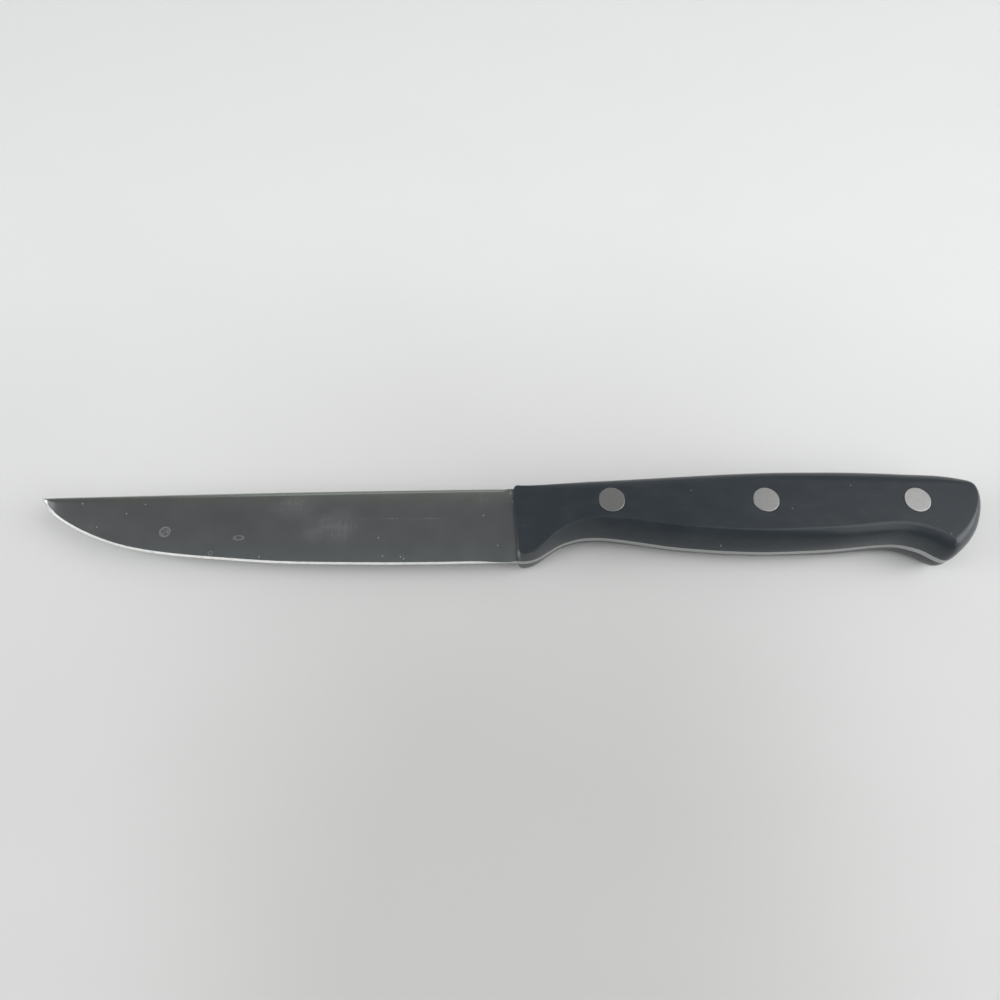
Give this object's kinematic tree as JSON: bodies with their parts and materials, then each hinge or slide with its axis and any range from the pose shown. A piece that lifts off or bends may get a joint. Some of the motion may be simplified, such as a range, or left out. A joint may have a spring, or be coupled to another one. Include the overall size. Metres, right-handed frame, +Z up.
{
  "type": "kitchen utility knife",
  "caption": "Fixed-blade kitchen utility knife: a tapered straight-edged steel blade with a full tang between black plastic handle scales held by flush rivets.",
  "frame": {"origin": "centre of the knife's outline, on the surface it lies on", "axes": "+X from the tip to the butt, along the knife; +Y from the cutting edge to the spine; +Z up, from the right side it lies on to the left side"},
  "size_m": [0.2366, 0.024, 0.0147],
  "materials": {
    "blade_steel": "satin stainless steel, finely ground from the spine to the edge",
    "handle_plastic": "moulded black plastic, semi-matt, with a softly polished ridge",
    "rivet_metal": "ground flush, fine satin"
  },
  "bodies": {
    "root": {"blade": "blade_steel", "left_handle_scale": "handle_plastic", "right_handle_scale": "handle_plastic", "front_rivet_male": "rivet_metal", "front_rivet_female": "rivet_metal", "middle_rivet_male": "rivet_metal", "middle_rivet_female": "rivet_metal", "rear_rivet_male": "rivet_metal", "rear_rivet_female": "rivet_metal"}
  },
  "joints": []
}
